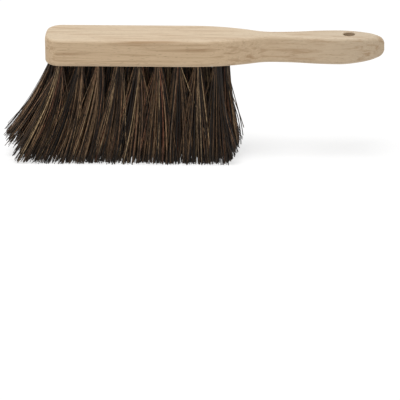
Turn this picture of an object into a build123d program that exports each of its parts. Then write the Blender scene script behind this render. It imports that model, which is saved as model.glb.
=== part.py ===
"""Palm brush: a one-piece wooden hand brush with a fanned field of stiff palm-fibre tufts.

Millimetres. +X runs along the brush from its front end to the handle, +Z is up, and the
brush stands on the trimmed ends of its bristles. Everything is drawn with x = 0 at the
front end of the wood, and at the end it is moved so that the origin lies under the middle
of the whole brush.
"""
import math
import os
import random

from build123d import *

# Wooden stock: head and handle cut from one board
stock_length = 285.0          # front end to handle end
stock_thickness = 24.2
bristle_trim = 85.0           # bristle length outside the wood
edge_radius = 3.2             # rounding of every long edge
head_width = 40.6
head_length = 156.0           # length of the stock that holds the tufts
taper_lead = 34.0             # how far before its end the head starts to narrow
front_corner_radius = 13.0
front_crown = 1.2             # bulge of the front end between its corners
neck_width = 12.8             # narrowest place of the handle
grip_width = 22.0             # widest place of the handle, where its nose begins
shoulder_share = 0.8          # part of the head's taper that bends inwards
neck_share = 0.38             # place of the neck between the head and the grip
halfway_share = 0.5

# Nose of the handle, lofted through rounded sections that shrink to a blunt tip
nose_length = 37.0
nose_softening = 1.0          # growth of the edge rounding towards the tip
nose_round_share = 0.95       # the rounding stays below this share of half the width
nose_sections = 12
nose_last_turn = 83.0         # degrees of a quarter turn that the sections follow
nose_point_power = 1.6        # 1 for an ellipse from above, more for a pointed one
nose_taper_share = 0.2        # of the height, lost evenly before the tip rounds off
nose_taper_power = 1.5
nose_end_power = 10.0         # a higher power keeps the height for longer
nose_blunt_share = 0.4        # a lower share makes the tip blunter from the side
nose_lift_share = 0.6         # part of the taper by which the middle of the nose rises

# Hanging hole, straight down through the handle
hang_radius = 4.9
hang_from_end = 29.5
hang_bevel = 0.7

# Tuft holes, in two inner and two outer rows evenly spaced across the head
hole_radius = 3.7
hole_sides = 12               # a hole and the packed root in it are drawn with this many sides
hole_depth = 15.0
row_margin = 7.5              # side of the head to the outer row
inner_first = 6.9             # front end of the wood to the first hole of an inner row
outer_first = 13.2
inner_rear_margin = 4.7       # last hole of an inner row to the end of the head
outer_rear_margin = 10.6
inner_holes = 10
outer_holes = 9
row_sides = (1, -1)

# Flat wire anchor across the fold of each tuft
anchor_height = 2.0
anchor_thickness = 0.6
anchor_above_floor = 2.6      # height of the anchor above the bottom of its hole
fit_gap = 0.1                 # clearance between tuft, anchor and wood

# Fibres: a three-sided strand stands for a few real fibres
strand_radius = 0.78          # middle of a strand to its corners
strand_sides = 3
strand_rows = (3, 4, 3)       # strands of one tuft, row by row across the brush
root_bury = 2.0               # length of a strand inside the root of its tuft
tip_jitter = 0.7
trim_scatter = 5.0            # how unevenly the palm fibres were cut
front_lean = 33.0             # how far the first tuft leans out at the tips
rear_lean = 4.0               # how far the last one leans back
front_sweep = 20.0            # past this distance ahead of the wood the tips lie higher
rear_sweep = 3.0              # and past this distance behind the last hole
fan_width_share = 1.55        # spacing of the rows at the tips, as a share of that at the roots
fill_along_share = 0.284      # spacing of a tuft's tips, as a share of its row's hole spacing
fill_across_share = 0.33      # and across the brush, as a share of the spacing of the rows
mid_flare_share = 0.4         # part of the flare that is reached half way down
lean_bow_share = 0.55         # how quickly the lean dies away behind the front
even_trim_share = 0.35        # share of the strands that reach the trimmed plane
sweep_slope_share = 1.35      # rise of the swept tips for each length that they lean out

overrun = 5.0                 # how far the cutting shapes run past the wood

underside = bristle_trim
stock_top = underside + stock_thickness
half_head = head_width / 2
grip_at = stock_length - nose_length
neck_at = head_length + (grip_at - head_length) * neck_share
hang_at = stock_length - hang_from_end
outer_row = half_head - row_margin
inner_row = outer_row / 3
inner_last = head_length - inner_rear_margin
outer_last = head_length - outer_rear_margin
root_radius = hole_radius - fit_gap
root_pitch = 2 * (root_radius - strand_radius - fit_gap) / (max(strand_rows) - 1)
inner_pitch = (inner_last - inner_first) / (inner_holes - 1)
outer_pitch = (outer_last - outer_first) / (outer_holes - 1)


def s_bend(start: tuple, end: tuple, share: float) -> None:
    """Two tangent arcs that leave start and reach end level, meeting at a share of the way."""
    middle = tuple(a + (b - a) * share for a, b in zip(start, end))
    TangentArc(start, middle, tangent=(1, 0))
    TangentArc(end, middle, tangent=(-1, 0))


def plan_outline() -> Face:
    """Outline of the stock from above, up to its nose: blunt front, straight head and waist."""
    front = front_crown
    with BuildSketch() as plan:
        with BuildLine():
            ThreePointArc((front, -half_head), (0, 0), (front, half_head))
            for side in row_sides:
                shoulder = (head_length - taper_lead, side * half_head)
                neck = (neck_at, side * neck_width / 2)
                grip = (grip_at, side * grip_width / 2)
                Line((front, side * half_head), shoulder)
                s_bend(shoulder, neck, shoulder_share)
                s_bend(neck, grip, halfway_share)
            Line((grip_at, -grip_width / 2), (grip_at, grip_width / 2))
        make_face()
        fillet(plan.vertices().sort_by(Axis.X)[:2], front_corner_radius)
    return plan.sketch.face()


def nose_section(turn: float) -> Face:
    """Section of the nose, for a turn in degrees along the quarter round of its plan."""
    reach = math.sin(math.radians(turn))
    share = reach / math.sin(math.radians(nose_last_turn))
    width = grip_width * math.cos(math.radians(turn)) ** nose_point_power
    taper = nose_taper_share * reach**nose_taper_power
    height = stock_thickness * (1 - taper) * (1 - reach**nose_end_power) ** nose_blunt_share
    corner = min(edge_radius + nose_softening * share, nose_round_share * width / 2)
    middle = underside + stock_thickness / 2 * (1 + nose_lift_share * taper)
    place = Plane(origin=(grip_at + nose_length * share, 0, middle), x_dir=(0, 1, 0), z_dir=(1, 0, 0))
    return place * RectangleRounded(width, height, corner)


def make_nose() -> Part:
    """End of the handle, which narrows all the way to its blunt tip."""
    turns = [nose_last_turn * index / nose_sections for index in range(nose_sections + 1)]
    return loft([nose_section(turn) for turn in turns], ruled=True)


def half_places() -> list:
    """Tuft holes of the far half as (row, number, x, y, pitch), front to back."""
    places = []
    for index in range(outer_holes):
        x = outer_first + outer_pitch * index
        places.append(("outer", index + 1, x, outer_row, outer_pitch))
    for index in range(inner_holes):
        x = inner_first + inner_pitch * index
        places.append(("inner", index + 1, x, inner_row, inner_pitch))
    return places


def all_holes() -> list:
    """Places of every tuft hole, on both sides of the brush's centre line."""
    return [(x, side * y) for side in row_sides for _, _, x, y, _ in half_places()]


def anchor_bar(x: float, y: float, gap: float) -> Part:
    """Anchor across the hole at (x, y), or with a gap the slot that it lies in."""
    length = 2 * (root_radius + gap)
    bar = Box(length, anchor_thickness + 2 * gap, anchor_height + 2 * gap)
    middle = underside + hole_depth - anchor_above_floor - anchor_height / 2
    return Pos(x, y, middle) * bar


def tuft_hole(x: float, y: float) -> Part:
    """Blind hole for one tuft, drilled up into the head."""
    mouth = Pos(x, y, underside - overrun) * RegularPolygon(hole_radius, hole_sides)
    return extrude(mouth, hole_depth + overrun)


def hanging_hole() -> Part:
    """Round hole through the handle, bevelled at both mouths."""
    middle = (underside + stock_top) / 2
    hole = Pos(hang_at, 0, middle) * Cylinder(hang_radius, stock_thickness + 2 * overrun)
    bevel = Cone(hang_radius + hang_bevel, hang_radius, hang_bevel)
    hole += Pos(hang_at, 0, underside + hang_bevel / 2) * bevel
    hole += Pos(hang_at, 0, stock_top - hang_bevel / 2) * (Rot(X=180) * bevel)
    return hole


def is_seam(edge: Edge) -> bool:
    """Whether an edge isn't a rim of the board: upright, or straight across the brush."""
    along = edge @ 1 - edge @ 0
    upright = abs(along.Z) > abs(along.X) + abs(along.Y)
    across = edge.geom_type == GeomType.LINE and abs(along.Y) > abs(along.X) + abs(along.Z)
    return upright or across


def make_stock() -> Part:
    """Head and handle in one piece, edges rounded, drilled for the tufts and for hanging."""
    board = extrude(Pos(0, 0, underside) * plan_outline(), stock_thickness)
    rims = [edge for edge in board.edges() if not is_seam(edge)]
    board = fillet(rims, edge_radius) + make_nose()
    cutters = [tuft_hole(x, y) for x, y in all_holes()]
    return board - cutters - hanging_hole()


def lean_at(x: float) -> float:
    """Distance that a tuft rooted at x leans along the brush, at its tips."""
    back = (x - inner_first) / (inner_last - inner_first)
    eased = back * (1 + lean_bow_share * (1 - back))
    return -front_lean + (front_lean + rear_lean) * eased


def swept_rise(tip_x: float) -> float:
    """Height of a tip above the trimmed plane where the fan sweeps out past the wood."""
    ahead = -front_sweep - tip_x
    behind = tip_x - inner_last - rear_sweep
    return max(ahead, behind, 0) * sweep_slope_share


def strand(root: tuple, tip: tuple) -> Part:
    """One strand: upright inside the tuft's root, then bowing out to its level end."""
    root_x, root_y = root
    tip_x, tip_y, tip_z = tip
    mid_x = root_x + (tip_x - root_x) * mid_flare_share
    mid_y = root_y + (tip_y - root_y) * mid_flare_share
    stations = (
        (root_x, root_y, underside + root_bury),
        (root_x, root_y, underside),
        (mid_x, mid_y, (underside + tip_z) / 2),
        (tip_x, tip_y, tip_z),
    )
    section = RegularPolygon(strand_radius, strand_sides)
    return loft([Pos(*station) * section for station in stations], ruled=True)


def tuft_strands(x: float, y: float, pitch: float, seed: int) -> list:
    """Strands of one tuft: close packed in the hole, spread out towards the tips."""
    chance = random.Random(seed)
    strands = []
    for row, count in enumerate(strand_rows):
        across = row - (len(strand_rows) - 1) / 2
        for index in range(count):
            along = index - (count - 1) / 2
            tip_x = x + lean_at(x) + along * pitch * fill_along_share
            tip_x += chance.uniform(-tip_jitter, tip_jitter)
            tip_y = (y + across * 2 * inner_row * fill_across_share) * fan_width_share
            tip_y += chance.uniform(-tip_jitter, tip_jitter)
            scatter = chance.uniform(0, trim_scatter)
            trimmed = chance.random() < even_trim_share
            tip_z = swept_rise(tip_x) + (0 if trimmed else scatter)
            root = (x + along * root_pitch, y + across * root_pitch)
            strands.append(strand(root, (tip_x, tip_y, tip_z)))
    return strands


def make_tuft(x: float, y: float, pitch: float, seed: int) -> Part:
    """One tuft: the folded root that fills its hole, and the strands that fan out of it."""
    section = Pos(x, y, underside) * RegularPolygon(root_radius, hole_sides)
    folded = extrude(section, hole_depth - fit_gap) - anchor_bar(x, y, fit_gap)
    return folded + tuft_strands(x, y, pitch, seed)


def make_anchors() -> Compound:
    """All the anchors: short flat wires, one across each hole."""
    return Compound([anchor_bar(x, y, 0).solid() for x, y in all_holes()])


def make_brush() -> dict:
    """Every piece of the brush by name, with x = 0 at the front end of the wood."""
    pieces = {"stock": make_stock(), "anchors": make_anchors()}
    for seed, (row, number, x, y, pitch) in enumerate(half_places()):
        tuft = make_tuft(x, y, pitch, seed)
        pieces[f"tuft_{row}_far_{number:02d}"] = tuft
        pieces[f"tuft_{row}_near_{number:02d}"] = mirror(tuft, about=Plane.XZ)
    return pieces


def main() -> None:
    """Build the brush, centre it over the origin and write one file for each piece."""
    os.makedirs("parts", exist_ok=True)
    pieces = make_brush()
    boxes = [piece.bounding_box() for piece in pieces.values()]
    front = min(box.min.X for box in boxes)
    back = max(box.max.X for box in boxes)
    middle = (front + back) / 2
    for name, piece in pieces.items():
        export_step(Pos(-middle, 0, 0) * piece, f"parts/{name}.step")
    print(f"front of the wood at x = {-middle:.3f} mm")
    print(f"hanging hole at x = {hang_at - middle:.3f} mm, brush {back - front:.2f} mm long")


main()
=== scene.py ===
"""Looks of the palm brush: a sanded wooden hand brush with a fanned field of palm fibre.

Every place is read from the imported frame, in metres: +X runs from the brush's front end to
its handle, +Z is up, and the brush stands on its trimmed bristles. Each strand of a tuft's
solid stands for a clump of real fibres, which are grown here one by one around its tip.
"""
import logging
import math
import random
from dataclasses import dataclass, field
from enum import Enum
from typing import ClassVar

import bmesh
import bpy
from mathutils import Matrix, Vector


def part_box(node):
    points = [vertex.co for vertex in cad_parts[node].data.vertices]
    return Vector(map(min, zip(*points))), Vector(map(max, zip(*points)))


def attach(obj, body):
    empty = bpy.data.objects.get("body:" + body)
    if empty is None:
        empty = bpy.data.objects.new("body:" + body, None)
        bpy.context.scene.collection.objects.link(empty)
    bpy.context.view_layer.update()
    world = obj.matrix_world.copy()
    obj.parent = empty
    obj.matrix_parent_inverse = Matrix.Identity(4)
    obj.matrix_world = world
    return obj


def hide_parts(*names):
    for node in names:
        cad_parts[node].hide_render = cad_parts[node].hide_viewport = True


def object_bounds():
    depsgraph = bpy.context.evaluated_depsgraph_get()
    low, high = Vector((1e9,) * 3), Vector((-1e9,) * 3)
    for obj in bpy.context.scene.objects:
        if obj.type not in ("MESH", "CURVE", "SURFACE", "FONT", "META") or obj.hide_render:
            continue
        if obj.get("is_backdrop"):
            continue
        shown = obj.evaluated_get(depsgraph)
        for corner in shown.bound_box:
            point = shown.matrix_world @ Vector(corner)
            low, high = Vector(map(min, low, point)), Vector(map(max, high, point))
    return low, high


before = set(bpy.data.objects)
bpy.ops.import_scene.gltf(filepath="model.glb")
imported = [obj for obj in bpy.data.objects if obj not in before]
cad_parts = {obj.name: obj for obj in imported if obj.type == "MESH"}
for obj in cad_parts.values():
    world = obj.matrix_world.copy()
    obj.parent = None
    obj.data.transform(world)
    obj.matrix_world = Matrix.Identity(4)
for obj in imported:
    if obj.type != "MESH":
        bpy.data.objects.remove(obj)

MM = 0.001
BODY = "root"
FIRST_TUFT = "tuft_inner_near_01"
LAST_TUFT = "tuft_inner_near_10"
# The Mix node's sockets for colours, by number because other sockets share their names.
MIX_FIRST = 6
MIX_SECOND = 7
MIX_COLOUR = 2
Tree = bpy.types.NodeTree
Socket = bpy.types.NodeSocket
Colour = tuple[float, float, float, float]
Geometry = list[bmesh.types.BMVert | bmesh.types.BMEdge | bmesh.types.BMFace]
log = logging.getLogger("palm_brush")


class Axis(int, Enum):
    """Axes that a grain runs along."""

    BRUSH = 0
    UP = 2


class Layer(str, Enum):
    """Values that each vertex of a fibre carries for its material, read in this order."""

    TONE = "tone"
    REACH = "reach"
    SHADE = "shade"


class Slot(str, Enum):
    """Material slots of the part's record."""

    WOOD = "wood"
    FIBRE = "palm_fibre"
    WIRE = "anchor_wire"


def linear(hex_colour: str) -> Colour:
    """Turn an sRGB hex colour to the linear colour that the shader takes.

    Args:
        hex_colour: A colour as "#rrggbb".

    Returns:
        Linear red, green and blue, and an alpha of 1.
    """
    shares = [int(hex_colour[start : start + 2], 16) / 255 for start in (1, 3, 5)]
    return (*(s / 12.92 if s <= 0.04045 else ((s + 0.055) / 1.055) ** 2.4 for s in shares), 1.0)


def add_node(
    tree: Tree, kind: str, inputs: dict | None = None, **settings: str | bool
) -> bpy.types.Node:
    """Add a shader node with its settings, its fixed values and its links.

    Args:
        tree: Node tree of the material or world.
        kind: Blender's name of the node type.
        inputs: Value or output socket for each input, by name or number.
        **settings: Properties of the node itself.

    Returns:
        The new node.
    """
    node = tree.nodes.new(kind)
    for name, value in settings.items():
        setattr(node, name, value)
    for name, value in (inputs or {}).items():
        if isinstance(value, Socket):
            tree.links.new(value, node.inputs[name])
        else:
            node.inputs[name].default_value = value
    return node


def new_material(name: str) -> tuple[bpy.types.Material, Tree]:
    """Make a material with an empty node tree.

    Args:
        name: Name of what the material is.

    Returns:
        The material and its node tree.
    """
    material = bpy.data.materials.new(name)
    material.use_nodes = True
    material.node_tree.nodes.clear()
    return material, material.node_tree


def seen_rays(tree: Tree) -> Socket:
    """Tell the rays that show the background: straight, mirrored or through glass.

    Args:
        tree: Node tree of the floor's material or of the sky.

    Returns:
        1 for such a ray, and 0 for one that only lights things.
    """
    path = add_node(tree, "ShaderNodeLightPath").outputs
    inputs = {0: path["Is Camera Ray"], 1: path["Is Glossy Ray"]}
    either = add_node(tree, "ShaderNodeMath", inputs, operation="MAXIMUM")
    inputs = {0: either.outputs[0], 1: path["Is Transmission Ray"]}
    return add_node(tree, "ShaderNodeMath", inputs, operation="MAXIMUM").outputs[0]


@dataclass(frozen=True)
class Grain:
    """Noise drawn out along one axis, as the grain of wood and the mottling of fibre are."""

    length_mm: float                            # of one feature along the axis
    width_mm: float                             # and across it
    detail: float = 2.0                         # octaves of finer noise in it
    roughness: float = 0.5
    twist: float = 0.0
    axis: Axis = Axis.BRUSH
    span: tuple[float, float] = (0.0, 1.0)      # noise at which its colour begins and is full
    most: float = 1.0                           # share of its colour where it is full

    def noise(self, tree: Tree) -> Socket:
        """Draw the noise on a material.

        Args:
            tree: Node tree of the material.

        Returns:
            The noise's value from 0 to 1.
        """
        size = [self.width_mm * MM] * 3
        size[self.axis] = self.length_mm * MM
        scale = tuple(1 / length for length in size)
        place = add_node(tree, "ShaderNodeTexCoord").outputs["Object"]
        spread = add_node(tree, "ShaderNodeMapping", {"Vector": place, "Scale": scale})
        inputs = {
            "Vector": spread.outputs[0],
            "Scale": 1.0,
            "Detail": self.detail,
            "Roughness": self.roughness,
            "Distortion": self.twist,
        }
        return add_node(tree, "ShaderNodeTexNoise", inputs).outputs["Fac"]

    def lay_over(self, tree: Tree, noise: Socket, body: Socket | Colour, colour: str) -> Socket:
        """Lay the grain's colour over another.

        Args:
            tree: Node tree of the material.
            noise: The grain's own noise.
            body: The colour beneath.
            colour: The grain's hex colour.

        Returns:
            The colour of both.
        """
        begin, full = self.span
        inputs = {"Value": noise, "From Min": begin, "From Max": full, "To Max": self.most}
        share = add_node(tree, "ShaderNodeMapRange", inputs).outputs[0]
        inputs = {"Factor": share, MIX_FIRST: body, MIX_SECOND: linear(colour)}
        return add_node(tree, "ShaderNodeMix", inputs, data_type="RGBA").outputs[MIX_COLOUR]


@dataclass(frozen=True)
class SandedRubberwood:
    """Plantation hardwood, planed, sanded and left raw.

    The eye sees a pale, warm, matt surface with brown streaks drawn out along the board and
    short fine pores, and a little darker fibre lines between them.
    """

    name: str = "sanded_rubberwood"
    pale: str = "#dccbb0"
    rosy: str = "#d9c2a5"
    side_shade: str = "#ddc29f"         # painted shade: upright faces are darker and warmer than the top and underside
    streak: str = "#a9855f"
    pore: str = "#8f704f"
    grey: str = "#c6bba8"               # the board turns greyer towards the end of the handle
    grey_from_mm: float = 20.0
    grey_to_mm: float = 140.0
    grey_share: float = 0.42
    board: Grain = Grain(length_mm=120.0, width_mm=16.0)
    streaks: Grain = Grain(
        length_mm=75.0, width_mm=3.2, detail=4.0, twist=0.6, span=(0.5, 0.72), most=0.7
    )
    lines: Grain = Grain(length_mm=26.0, width_mm=0.7, span=(0.35, 0.7), most=0.22)
    # Real pores are half as wide, which is too fine to show.
    pores: Grain = Grain(
        length_mm=4.5, width_mm=0.5, detail=1.0, span=(0.62, 0.72), most=0.38
    )
    pore_depth_mm: float = 0.06
    pore_strength: float = 0.5
    roughness: float = 0.62

    def body(self, tree: Tree) -> Socket:
        """Work out the wood's colour without its streaks and pores, with painted shade on its
        upright faces.

        Args:
            tree: Node tree of the material.

        Returns:
            The colour.
        """
        face = self.board.lay_over(tree, self.board.noise(tree), linear(self.pale), self.rosy)
        # Painted shade: the more upright a face, the more of the darker side colour it takes.
        way = add_node(tree, "ShaderNodeNewGeometry").outputs["Normal"]
        upward = add_node(tree, "ShaderNodeSeparateXYZ", {"Vector": way}).outputs["Z"]
        level = add_node(tree, "ShaderNodeMath", {0: upward}, operation="ABSOLUTE").outputs[0]
        inputs = {"Factor": level, MIX_FIRST: linear(self.side_shade), MIX_SECOND: face}
        body = add_node(tree, "ShaderNodeMix", inputs, data_type="RGBA").outputs[MIX_COLOUR]
        place = add_node(tree, "ShaderNodeTexCoord").outputs["Object"]
        along = add_node(tree, "ShaderNodeSeparateXYZ", {"Vector": place}).outputs["X"]
        inputs = {
            "Value": along,
            "From Min": self.grey_from_mm * MM,
            "From Max": self.grey_to_mm * MM,
            "To Max": self.grey_share,
        }
        share = add_node(tree, "ShaderNodeMapRange", inputs).outputs[0]
        inputs = {"Factor": share, MIX_FIRST: body, MIX_SECOND: linear(self.grey)}
        return add_node(tree, "ShaderNodeMix", inputs, data_type="RGBA").outputs[MIX_COLOUR]

    def make(self) -> bpy.types.Material:
        """Build the material.

        Returns:
            The material.
        """
        material, tree = new_material(self.name)
        body = self.body(tree)
        for grain, colour in ((self.streaks, self.streak), (self.lines, self.streak)):
            body = grain.lay_over(tree, grain.noise(tree), body, colour)
        pits = self.pores.noise(tree)
        body = self.pores.lay_over(tree, pits, body, self.pore)
        depth = self.pore_depth_mm * MM
        inputs = {"Height": pits, "Distance": depth, "Strength": self.pore_strength}
        relief = add_node(tree, "ShaderNodeBump", inputs, invert=True).outputs[0]
        inputs = {"Base Color": body, "Roughness": self.roughness, "Normal": relief}
        shader = add_node(tree, "ShaderNodeBsdfPrincipled", inputs)
        add_node(tree, "ShaderNodeOutputMaterial", {"Surface": shader.outputs[0]})
        return material


@dataclass(frozen=True)
class PalmFibre:
    """Stiff palm-leaf fibre, stripped and dried.

    The eye sees dark brown to black stalks with a dull gloss, each of its own tone, many of
    them tan, rust or grey, and mottled along their length.
    """

    name: str = "palm_fibre"
    tones: tuple[tuple[float, str], ...] = (
        (0.0, "#140d08"),
        (0.28, "#2c1f15"),
        (0.45, "#5f4833"),
        (0.58, "#846749"),
        (0.7, "#9a7d60"),
        (0.8, "#8c5a42"),
        (0.88, "#b09270"),
        (1.0, "#c8ab82"),
    )
    blotch: str = "#140d08"
    # Painted shade: the fibres darken to this colour towards their tips.
    tip: str = "#1f1812"
    # Painted shade: the roots of the inner tufts, seen between the outer tufts, darken to this
    # colour.
    root: str = "#120b06"
    mottle: Grain = Grain(
        length_mm=5.0, width_mm=1.1, detail=3.0, roughness=0.7, axis=Axis.UP,
        span=(0.44, 0.62), most=0.75,
    )
    # Whole groups of fibres are darker over this width.
    clouds: Grain = Grain(
        length_mm=27.27, width_mm=6.0, axis=Axis.UP, span=(0.48, 0.7), most=0.6
    )
    tip_shade_from: float = 0.8               # share of the fibre's length where the painted shade at its tip begins
    tip_shade_share: float = 0.72
    roughness: float = 0.55
    gloss: float = 0.3

    def make(self) -> bpy.types.Material:
        """Build the material.

        Returns:
            The material.
        """
        material, tree = new_material(self.name)
        tone, reach, shade = (
            add_node(tree, "ShaderNodeAttribute", attribute_name=layer.value).outputs["Fac"]
            for layer in Layer
        )
        ramp = add_node(tree, "ShaderNodeValToRGB", {"Fac": tone})
        stops = ramp.color_ramp.elements
        while len(stops) < len(self.tones):
            stops.new(1.0)
        for stop, (place, colour) in zip(stops, self.tones):
            stop.position = place
            stop.color = linear(colour)
        body = ramp.outputs["Color"]
        for grain in (self.mottle, self.clouds):
            body = grain.lay_over(tree, grain.noise(tree), body, self.blotch)
        # Painted shade: how far towards the tip the fibre darkens.
        inputs = {"Value": reach, "From Min": self.tip_shade_from, "To Max": self.tip_shade_share}
        tip_shading = add_node(tree, "ShaderNodeMapRange", inputs).outputs[0]
        # Painted shade: darker towards the tips, and at the roots of the inner tufts.
        for share, colour in ((tip_shading, self.tip), (shade, self.root)):
            inputs = {"Factor": share, MIX_FIRST: body, MIX_SECOND: linear(colour)}
            body = add_node(tree, "ShaderNodeMix", inputs, data_type="RGBA").outputs[MIX_COLOUR]
        inputs = {"Base Color": body, "Roughness": self.roughness, "Specular IOR Level": self.gloss}
        shader = add_node(tree, "ShaderNodeBsdfPrincipled", inputs)
        add_node(tree, "ShaderNodeOutputMaterial", {"Surface": shader.outputs[0]})
        return material


@dataclass(frozen=True)
class CutPith:
    """Core of a palm fibre where it was trimmed.

    The eye sees small golden dots among dark ones, because only the paler fibres have a
    golden pith.
    """

    name: str = "cut_pith"
    dark: str = "#3a2917"
    gold: str = "#c29a4e"
    patches: Grain = Grain(length_mm=1.4, width_mm=1.4, span=(0.45, 0.6))
    roughness: float = 0.8

    def make(self) -> bpy.types.Material:
        """Build the material.

        Returns:
            The material.
        """
        material, tree = new_material(self.name)
        patches = self.patches.noise(tree)
        body = self.patches.lay_over(tree, patches, linear(self.dark), self.gold)
        inputs = {"Base Color": body, "Roughness": self.roughness}
        shader = add_node(tree, "ShaderNodeBsdfPrincipled", inputs)
        add_node(tree, "ShaderNodeOutputMaterial", {"Surface": shader.outputs[0]})
        return material


@dataclass(frozen=True)
class DrawnSteelWire:
    """Flattened steel wire, drawn through a die.

    The eye sees a dull grey metal with fine scratches along the wire.
    """

    name: str = "drawn_steel_wire"
    bright: str = "#b4b2ae"
    dull: str = "#84817c"
    scratches: Grain = Grain(length_mm=3.0, width_mm=0.15, detail=3.0)
    metallic: float = 1.0
    roughness: float = 0.38

    def make(self) -> bpy.types.Material:
        """Build the material.

        Returns:
            The material.
        """
        material, tree = new_material(self.name)
        scratches = self.scratches.noise(tree)
        body = self.scratches.lay_over(tree, scratches, linear(self.bright), self.dull)
        inputs = {"Base Color": body, "Metallic": self.metallic, "Roughness": self.roughness}
        shader = add_node(tree, "ShaderNodeBsdfPrincipled", inputs)
        add_node(tree, "ShaderNodeOutputMaterial", {"Surface": shader.outputs[0]})
        return material


@dataclass(frozen=True)
class PaperSweep:
    """White paper under the brush, which stays white to the camera and keeps a soft shadow.

    It throws less light back than it shows, because the photograph's brush has little light
    on it from below.
    """

    name: str = "paper_sweep"
    paper: str = "#fafafa"
    thrown: str = "#f4f2ef"
    own_glow: float = 1.08
    glow_share: float = 0.66

    def make(self) -> bpy.types.Material:
        """Build the material, which is clear from below.

        Returns:
            The material.
        """
        material, tree = new_material(self.name)
        seen = seen_rays(tree)
        inputs = {"Factor": seen, MIX_FIRST: linear(self.thrown), MIX_SECOND: linear(self.paper)}
        shown = add_node(tree, "ShaderNodeMix", inputs, data_type="RGBA").outputs[MIX_COLOUR]
        matt = add_node(tree, "ShaderNodeBsdfDiffuse", {"Color": shown})
        glow = add_node(tree, "ShaderNodeEmission", {"Strength": self.own_glow})
        inputs = {0: seen, 1: self.glow_share}
        share = add_node(tree, "ShaderNodeMath", inputs, operation="MULTIPLY")
        inputs = {"Fac": share.outputs[0], 1: matt.outputs[0], 2: glow.outputs[0]}
        front = add_node(tree, "ShaderNodeMixShader", inputs)
        below = add_node(tree, "ShaderNodeNewGeometry").outputs["Backfacing"]
        clear = add_node(tree, "ShaderNodeBsdfTransparent")
        inputs = {"Fac": below, 1: front.outputs[0], 2: clear.outputs[0]}
        shader = add_node(tree, "ShaderNodeMixShader", inputs)
        add_node(tree, "ShaderNodeOutputMaterial", {"Surface": shader.outputs[0]})
        return material


def finish_mesh(name: str, mesh: bmesh.types.BMesh) -> bpy.types.Mesh:
    """Turn a bmesh that is done to mesh data.

    Args:
        name: Name of the mesh.
        mesh: The bmesh, which is freed.

    Returns:
        The mesh data.
    """
    data = bpy.data.meshes.new(name)
    mesh.to_mesh(data)
    mesh.free()
    return data


def add_object(name: str, data: bpy.types.ID) -> bpy.types.Object:
    """Put a mesh, a lamp or a camera into the scene.

    Args:
        name: Name of the object.
        data: What the object holds.

    Returns:
        The new object, at the origin.
    """
    added = bpy.data.objects.new(name, data)
    bpy.context.scene.collection.objects.link(added)
    return added


@dataclass
class DressedSolid:
    """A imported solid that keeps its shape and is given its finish."""

    node: str
    slot: Slot
    finish: SandedRubberwood | DrawnSteelWire

    def build(self) -> None:
        """Give the solid its finish."""
        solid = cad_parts[self.node]
        solid.data.materials.clear()
        solid.data.materials.append(self.finish.make())
        log.info("%s dressed", self.node)


@dataclass
class Stock(DressedSolid):
    """Head and handle: the one piece of wood."""

    node: str = "stock"
    slot: Slot = Slot.WOOD
    finish: SandedRubberwood = field(default_factory=SandedRubberwood)


@dataclass
class Anchors(DressedSolid):
    """Flat wires that hold the folded tufts in their holes."""

    node: str = "anchors"
    slot: Slot = Slot.WIRE
    finish: DrawnSteelWire = field(default_factory=DrawnSteelWire)


@dataclass
class Clump:
    """Fibres that leave the wood side by side and end around the tip of one strand."""

    tip: Vector         # end of the strand
    middle: Vector      # middle of the tips of the whole tuft
    base: Vector        # place of the strand within the hole's mouth
    root: Vector        # middle of the mouth
    hole: float         # radius of the mouth
    bias: float         # by which the clump is lighter than others
    edge: float         # how far an outer tuft's tips reach to its open side
    inner: bool         # whether the tuft stands in an inner row


@dataclass
class Fibre:
    """One fibre, from the depth of its hole to its trimmed end."""

    root: Vector        # middle of its tuft's mouth
    lean: Vector        # from there to the middle of the tuft's tips
    start: Vector       # place of the fibre within the mouth
    end: Vector         # place of its tip among the tuft's tips
    radius: float
    bow: Vector
    ripple: Vector
    turn: float         # in turns, of its section and of its ripple
    tone: float
    shade: float        # of its root, in the dark between the tufts
    opening: float      # by which it leaves its tuft sooner than along a straight line

    straight_share: ClassVar[float] = 0.45      # of its lean, the rest bends
    shade_reach: ClassVar[float] = 0.3
    tip_thinning: ClassVar[float] = 0.12
    ripple_waves: ClassVar[float] = 1.3
    ripple_calm: ClassVar[float] = 1.15         # share of its length where the ripple would end

    def place(self, share: float, sink: float) -> Vector:
        """Find the middle of the fibre.

        Args:
            share: Way from the mouth of the hole to the tip, below 0 inside the hole.
            sink: Depth inside the hole for each 1 of share below 0.

        Returns:
            The place on the fibre's centre line.
        """
        if share <= 0:
            return self.root + self.start + Vector((0, 0, -share * sink))
        flare = share * (self.straight_share + (1 - self.straight_share) * share)
        opened = share * (1 + self.opening * (1 - share))
        place = self.root + self.lean * flare + self.start.lerp(self.end, opened)
        place.z = self.root.z + (self.lean.z + self.end.z) * share
        swing = math.sin(math.pi * share) * share
        wave = math.sin(math.tau * (self.ripple_waves * share + self.turn))
        wave *= share * (self.ripple_calm - share)
        return place + self.bow * swing + self.ripple * wave

    def darkness(self, share: float) -> float:
        """Find how dark the fibre is at a share of its way from the mouth to the tip."""
        return self.shade * max(0.0, 1 - max(share, 0) / self.shade_reach)

    def thickness(self, share: float) -> float:
        """Find the fibre's radius at a share of its way from the mouth to the tip."""
        return self.radius * (1 - self.tip_thinning * max(share, 0))


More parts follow.
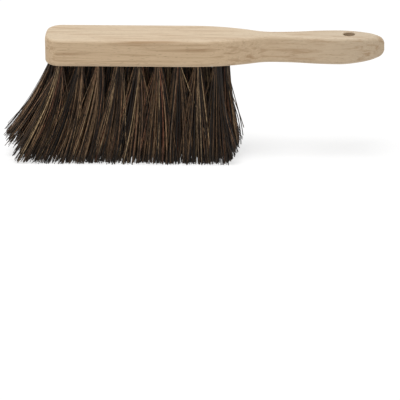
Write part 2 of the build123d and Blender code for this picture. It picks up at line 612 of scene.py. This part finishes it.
@dataclass
class BristleField:
    """All the tufts, each grown around the strands of its solid."""

    # One fibre.
    fibre_sides: int = 4
    fibre_rings: int = 10
    thin_radius: float = 0.28 * MM
    thick_radius: float = 0.54 * MM
    root_depth: float = 9.0 * MM
    bow_reach: float = 2.0 * MM
    ripple_reach: float = 1.0 * MM
    # The fibres of one clump.
    fibres_per_strand: int = 12
    hole_fill: float = 0.93             # share of the hole's radius that the tuft fills
    strand_ring: float = 0.8            # share of it on which the outermost strands start
    strand_spread: float = 0.3          # share of it over which the fibres of a strand start
    clump_radius: float = 2.1 * MM      # most fibres end around the tip of their strand
    clump_point: float = 0.5 * MM       # by which a clump's middle is longer than its rim
    clump_drop_share: float = 0.3       # of a strand's own height above the trimmed plane
    front_point: float = 11.0 * MM      # by which clumps at the front end are longer in front
    loose_from: float = 30.0 * MM       # they are pointed over this distance from that end
    least_loose: float = 0.2
    cut_scatter: float = 0.4 * MM
    # The fibres that leave their clump.
    fan_gain: float = 1.55              # they fan out further along the brush than the strands
    cross_share: float = 0.6            # some end further along the brush than their clump
    cross_reach: float = 5.5 * MM       # typically by this much
    stray_share: float = 0.08           # a few stray right across the others
    stray_reach: float = 22.0 * MM
    stray_bow: float = 4.0              # times the bow of the others
    across_limit: float = 1.8 * MM      # half the width of a clump across the brush
    across_reach: float = 2.2 * MM      # by which its fibres mix with the next row's
    outward_share: float = 0.8          # the outer tufts are fuller on their open side
    outer_opening: float = 0.15
    inner_opening: float = 0.5          # the inner rows close the gaps between the outer tufts
    late_opening: float = 1.0           # the fibres at the rear end fan out late
    late_reach: float = 22.0 * MM       # over this distance before it
    # How far the tips reach.
    front_overreach: float = 4.5 * MM   # by which fibres reach further forward than the strands
    side_overreach: float = 1.0 * MM    # and further out to the side
    stray_overreach: float = 3.0 * MM   # and by which a stray reaches further back
    turn_back: float = 8.0 * MM         # tips past these ends are moved in by up to this much
    front_sweep: float = 26.0 * MM      # past this distance ahead of the wood tips lie higher
    rear_sweep: float = 3.0 * MM        # and past this distance behind the last tuft
    sweep_slope: float = 1.35
    # Tones.
    tone_power: float = 1.15            # dark fibres outnumber light ones
    bias_share: float = 0.17            # by which a whole clump is lighter or darker
    dark_tuft: str = "tuft_outer_near_09"   # the last one in front is nearly black
    dark_bias: float = -0.3
    inner_shade: float = 0.75           # only the inner tufts have roots in the dark
    # How the solids are read.
    strands_end_in: float = 0.4         # this lowest part of the bristles
    fibres_end_in: float = 0.5          # and the fibres in this one
    level_limit: float = -0.99          # a face looks straight down if its normal's Z is less
    top_depth: float = 0.5 * MM         # a root's upper corners lie this close to its top
    seed: int = 7
    finish: PalmFibre = field(default_factory=PalmFibre)
    pith: CutPith = field(default_factory=CutPith)
    mouth: float = field(init=False)
    front_tip: float = field(init=False)
    rear_tip: float = field(init=False)
    side_tip: float = field(init=False)
    front_rise: float = field(init=False)
    rear_rise: float = field(init=False)

    def __post_init__(self) -> None:
        """Read from the frame where the wood and the tips begin and end."""
        wood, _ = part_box(Stock.node)
        self.mouth = wood.z
        self.front_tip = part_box(FIRST_TUFT)[0].x - self.front_overreach
        self.rear_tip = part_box(LAST_TUFT)[1].x
        self.side_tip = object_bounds()[1].y + self.side_overreach
        self.front_rise = wood.x - self.front_sweep
        self.rear_rise = self.mouth_ring(LAST_TUFT)[0].x + self.rear_sweep

    def strand_tips(self, node: str) -> list[Vector]:
        """Find the middle of the lowest face of each strand of a tuft's solid."""
        faces = [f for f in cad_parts[node].data.polygons if f.normal.z < self.level_limit]
        return [f.center.copy() for f in faces if f.center.z < self.mouth * self.strands_end_in]

    def mouth_ring(self, node: str) -> tuple[Vector, float]:
        """Find where a tuft leaves the wood.

        Args:
            node: Name of the tuft.

        Returns:
            The middle of the hole's mouth, and the radius of the root that fills it.
        """
        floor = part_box(node)[1].z - self.top_depth
        corners = [v.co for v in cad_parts[node].data.vertices if v.co.z > floor]
        low = Vector(min(c[axis] for c in corners) for axis in range(3))
        high = Vector(max(c[axis] for c in corners) for axis in range(3))
        middle = (low + high) / 2
        middle.z = self.mouth
        return middle, (high.x - low.x) / 2

    def prototype(self, mesh: bmesh.types.BMesh) -> Geometry:
        """Make a straight fibre of unit size, standing on the origin.

        Args:
            mesh: The bmesh that it goes into.

        Returns:
            Its vertices, edges and faces.
        """
        half = 0.5
        bmesh.ops.create_cone(
            mesh, cap_ends=True, segments=self.fibre_sides, radius1=1.0, radius2=1.0, depth=1.0,
            matrix=Matrix.Translation((0, 0, half)),
        )
        uprights = [e for e in mesh.edges if abs(e.verts[0].co.z - e.verts[1].co.z) > half]
        bmesh.ops.subdivide_edges(mesh, edges=uprights, cuts=self.fibre_rings - 1)
        return [*mesh.verts, *mesh.edges, *mesh.faces]

    def grow_fibre(self, mesh: bmesh.types.BMesh, pattern: Geometry, fibre: Fibre) -> None:
        """Add one fibre to a tuft.

        Args:
            mesh: The tuft.
            pattern: The straight fibre that is copied.
            fibre: Where the fibre runs.
        """
        tone, reach, shade = (mesh.verts.layers.float[layer.value] for layer in Layer)
        first = 1 / self.fibre_rings
        sink = self.root_depth * (self.fibre_rings - 1)
        twist = Matrix.Rotation(math.tau * fibre.turn, 3, "Z")
        for part in bmesh.ops.duplicate(mesh, geom=pattern)["geom"]:
            if isinstance(part, bmesh.types.BMVert):
                share = (part.co.z - first) / (1 - first)
                side = twist @ Vector((part.co.x, part.co.y, 0)) * fibre.thickness(share)
                part.co = fibre.place(share, sink) + side
                part[tone] = fibre.tone
                part[reach] = max(share, 0)
                part[shade] = fibre.darkness(share)
            elif isinstance(part, bmesh.types.BMFace):
                part.smooth = len(part.verts) == self.fibre_sides

    def trimmed_height(self, x: float) -> float:
        """Find the height at which the fibres were cut.

        Args:
            x: Place of a tip along the brush.

        Returns:
            0 under the head, and more where the fan sweeps out past its ends.
        """
        return max(self.front_rise - x, x - self.rear_rise, 0.0) * self.sweep_slope

    def keep_within(self, x: float, chance: random.Random, stray: bool = False) -> float:
        """Move a tip that would end too far beyond the solids' own tips back among them.

        Args:
            x: Place of the tip along the brush.
            chance: Source of the tuft's irregularities.
            stray: Whether the fibre strays, and so may reach further back.

        Returns:
            The place that it is moved to.
        """
        inward = chance.random() ** 2 * self.turn_back
        rear = self.rear_tip + (self.stray_overreach if stray else 0)
        if x < self.front_tip:
            return self.front_tip + inward
        return rear - inward if x > rear else x

    def plan_start(self, clump: Clump, around: Vector) -> Vector:
        """Find where a fibre starts within the mouth of its hole.

        Args:
            clump: The clump that the fibre belongs to.
            around: Place of the fibre within the clump, which has a radius of 1.

        Returns:
            The place, from the middle of the mouth.
        """
        start = clump.base + around * self.strand_spread * clump.hole
        packed = clump.hole * self.hole_fill
        if start.length > packed:
            start *= packed / start.length
        return start

    def plan_end(
        self, clump: Clump, around: Vector, stray: bool, chance: random.Random
    ) -> tuple[Vector, float]:
        """Find where a fibre ends.

        Args:
            clump: The clump that the fibre belongs to.
            around: Place of the fibre within the clump, which has a radius of 1.
            stray: Whether the fibre strays.
            chance: Source of the tuft's irregularities.

        Returns:
            The place of its tip, and how loose the clump is there: 1 under the head, and less
            towards the front end, where clumps stay pointed.
        """
        tip, middle = clump.tip, clump.middle
        x = self.keep_within(middle.x + (tip.x - middle.x) * self.fan_gain, chance)
        x += around.x * self.clump_radius
        loose = max(self.least_loose, min(1.0, (x - self.front_tip) / self.loose_from))
        if stray:
            x += chance.uniform(-1, 1) * self.stray_reach
        elif chance.random() < self.cross_share * (1 + loose) / 2:
            x += chance.gauss(0, self.cross_reach)
        x = self.keep_within(x, chance, stray)
        out = tip.y - middle.y
        out += (clump.edge - out) * chance.random() * self.outward_share
        out += around.y * self.across_limit + chance.gauss(0, self.across_reach)
        y = max(-self.side_tip, min(self.side_tip, middle.y + out))
        above = (tip.z - self.trimmed_height(tip.x)) * self.clump_drop_share
        above += chance.random() * self.cut_scatter
        target = Vector((x, y, self.trimmed_height(x) + above))
        behind = (1 + around.x) / 2
        shorter = around.length ** 2 * self.clump_point
        shorter += behind ** 2 * (1 - loose) * self.front_point
        return target - (target - clump.root).normalized() * shorter, loose

    def plan_fibre(self, clump: Clump, chance: random.Random) -> Fibre:
        """Work out one fibre of a clump.

        Args:
            clump: The clump that the fibre belongs to.
            chance: Source of the tuft's irregularities.

        Returns:
            The fibre.
        """
        angle = chance.uniform(0, math.tau)
        around = Vector((math.cos(angle), math.sin(angle), 0)) * math.sqrt(chance.random())
        stray = chance.random() < self.stray_share
        end, loose = self.plan_end(clump, around, stray, chance)
        late = max(0.0, 1 - (self.rear_tip - end.x) / self.late_reach)
        opening = self.inner_opening if clump.inner else self.outer_opening
        bend = self.bow_reach * (self.stray_bow if stray else 1) * loose
        return Fibre(
            root=clump.root,
            lean=clump.middle - clump.root,
            start=self.plan_start(clump, around),
            end=end - clump.middle,
            radius=chance.uniform(self.thin_radius, self.thick_radius),
            bow=Vector((chance.uniform(-1, 1) * bend, chance.uniform(-1, 1) * self.bow_reach, 0)),
            ripple=Vector((chance.uniform(-1, 1), chance.uniform(-1, 1), 0)) * self.ripple_reach,
            turn=chance.random(),
            tone=max(0.0, min(1.0, chance.random() ** self.tone_power + clump.bias)),
            shade=self.inner_shade if clump.inner else 0.0,
            opening=opening * (1 - late) - self.late_opening * late,
        )

    def plan_fibres(self, node: str, chance: random.Random) -> list[Fibre]:
        """Work out the fibres of one tuft.

        Args:
            node: Name of the tuft.
            chance: Source of the tuft's irregularities.

        Returns:
            The tuft's fibres.
        """
        root, hole = self.mouth_ring(node)
        tips = self.strand_tips(node)
        middle = sum(tips, Vector()) / len(tips)
        half_x = max(abs(t.x - middle.x) for t in tips)
        half_y = max(abs(t.y - middle.y) for t in tips)
        inner = "inner" in node
        edge = 0.0 if inner else math.copysign(half_y, middle.y)
        tuft_bias = self.dark_bias if node == self.dark_tuft else 0.0
        fibres = []
        for tip in tips:
            bias = chance.uniform(-1, 1) * self.bias_share + tuft_bias
            base = Vector(((tip.x - middle.x) / half_x, (tip.y - middle.y) / half_y, 0))
            base *= self.strand_ring * hole / max(1.0, base.length)
            clump = Clump(tip, middle, base, root, hole, bias, edge, inner)
            fibres += [self.plan_fibre(clump, chance) for _ in range(self.fibres_per_strand)]
        return fibres

    def build_tuft(self, node: str, chance: random.Random) -> bpy.types.Object:
        """Grow one tuft and let it stand for its solid.

        Args:
            node: Name of the tuft's solid.
            chance: Source of its irregularities.

        Returns:
            The tuft's piece.
        """
        mesh = bmesh.new()
        for layer in Layer:
            mesh.verts.layers.float.new(layer.value)
        pattern = self.prototype(mesh)
        for fibre in self.plan_fibres(node, chance):
            self.grow_fibre(mesh, pattern, fibre)
        bmesh.ops.delete(mesh, geom=[p for p in pattern if isinstance(p, bmesh.types.BMVert)])
        bmesh.ops.recalc_face_normals(mesh, faces=mesh.faces)
        for face in mesh.faces:
            low = face.calc_center_median().z < self.mouth * self.fibres_end_in
            face.material_index = 1 if low and face.normal.z < self.level_limit else 0
        piece = add_object(node.replace("tuft", "fibres"), finish_mesh(node, mesh))
        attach(piece, BODY)
        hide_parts(node)
        return piece

    def build(self) -> None:
        """Grow every tuft and give the fibres their finish."""
        materials = (self.finish.make(), self.pith.make())
        for number, node in enumerate(sorted(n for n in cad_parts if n.startswith("tuft"))):
            tuft = self.build_tuft(node, random.Random(self.seed + number))
            for material in materials:
                tuft.data.materials.append(material)
            log.info("%s stands for %s, %d faces", tuft.name, node, len(tuft.data.polygons))


@dataclass
class Studio:
    """Paper floor, soft light and a long lens at the photograph's viewing angle."""

    azimuth_deg: float = -3.4
    elevation_deg: float = 20.2
    roll_deg: float = -0.75
    distance: float = 4.0
    lens_px: float = 4743.0             # focal length in pixels of the picture
    picture_px: float = 400.0
    aim_px: tuple[float, float] = (199.7, 82.2)
    aim_back: float = 130.0 * MM        # the point aimed at, behind the wood's front end
    aim_drop: float = 20.0 * MM         # and below its underside
    floor_size: float = 6.0
    sky: str = "#ffffff"
    sky_shown: float = 1.0              # strength at which the sky is white to the camera
    sky_strength: float = 0.27          # and at which it lights the brush
    sun_strength: float = 2.35
    sun_angle_deg: float = 30.0
    sun_elevation_deg: float = 78.0
    sun_azimuth_deg: float = -28.0
    paper: PaperSweep = field(default_factory=PaperSweep)

    def lay_floor(self) -> None:
        """Lay the paper that the brush stands on."""
        mesh = bmesh.new()
        bmesh.ops.create_grid(mesh, x_segments=1, y_segments=1, size=self.floor_size / 2)
        floor = add_object("floor", finish_mesh("floor", mesh))
        floor.data.materials.append(self.paper.make())
        floor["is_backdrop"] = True

    def light(self) -> None:
        """Set an even white sky and one broad soft lamp above and in front."""
        world = bpy.data.worlds.new("studio_sky")
        world.use_nodes = True
        tree = world.node_tree
        tree.nodes.clear()
        shown, soft = (
            add_node(tree, "ShaderNodeBackground", {"Color": linear(self.sky), "Strength": power})
            for power in (self.sky_shown, self.sky_strength)
        )
        inputs = {"Fac": seen_rays(tree), 1: soft.outputs[0], 2: shown.outputs[0]}
        both = add_node(tree, "ShaderNodeMixShader", inputs)
        add_node(tree, "ShaderNodeOutputWorld", {"Surface": both.outputs[0]})
        bpy.context.scene.world = world
        lamp = bpy.data.lights.new("soft_lamp", "SUN")
        lamp.energy = self.sun_strength
        lamp.angle = math.radians(self.sun_angle_deg)
        turn = Matrix.Rotation(math.radians(self.sun_azimuth_deg), 4, "Z")
        tilt = Matrix.Rotation(math.radians(90 - self.sun_elevation_deg), 4, "X")
        add_object("soft_lamp", lamp).matrix_world = turn @ tilt

    def stand_camera(self) -> None:
        """Place the camera so that the aim point falls on its pixel of the picture."""
        azimuth, elevation = math.radians(self.azimuth_deg), math.radians(self.elevation_deg)
        level = math.cos(elevation)
        ahead = Vector(
            (math.sin(azimuth) * level, math.cos(azimuth) * level, -math.sin(elevation))
        )
        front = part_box(Stock.node)[0]
        aim = Vector((front.x + self.aim_back, 0, front.z - self.aim_drop))
        place = aim - ahead * self.distance
        turn = ahead.to_track_quat("-Z", "Y").to_matrix()
        turn = turn @ Matrix.Rotation(math.radians(self.roll_deg), 3, "Z")
        middle = self.picture_px / 2
        left = math.atan((middle - self.aim_px[0]) / self.lens_px)
        down = -math.atan((middle - self.aim_px[1]) / self.lens_px)
        turn = turn @ Matrix.Rotation(left, 3, "Y") @ Matrix.Rotation(down, 3, "X")
        data = bpy.data.cameras.new("camera")
        data.lens = self.lens_px / self.picture_px * data.sensor_width
        camera = add_object("camera", data)
        camera.matrix_world = Matrix.Translation(place) @ turn.to_4x4()
        bpy.context.scene.camera = camera

    def build(self) -> None:
        """Set up the floor, the light and the camera."""
        self.lay_floor()
        self.light()
        self.stand_camera()
        bpy.context.scene.view_settings.view_transform = "Standard"
        log.info("studio ready")


def main() -> None:
    """Dress the brush and set up the studio around it."""
    logging.basicConfig(level=logging.INFO)
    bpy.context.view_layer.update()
    for assembly in (Studio(), Stock(), Anchors(), BristleField()):
        assembly.build()


if __name__ == "__main__":
    main()
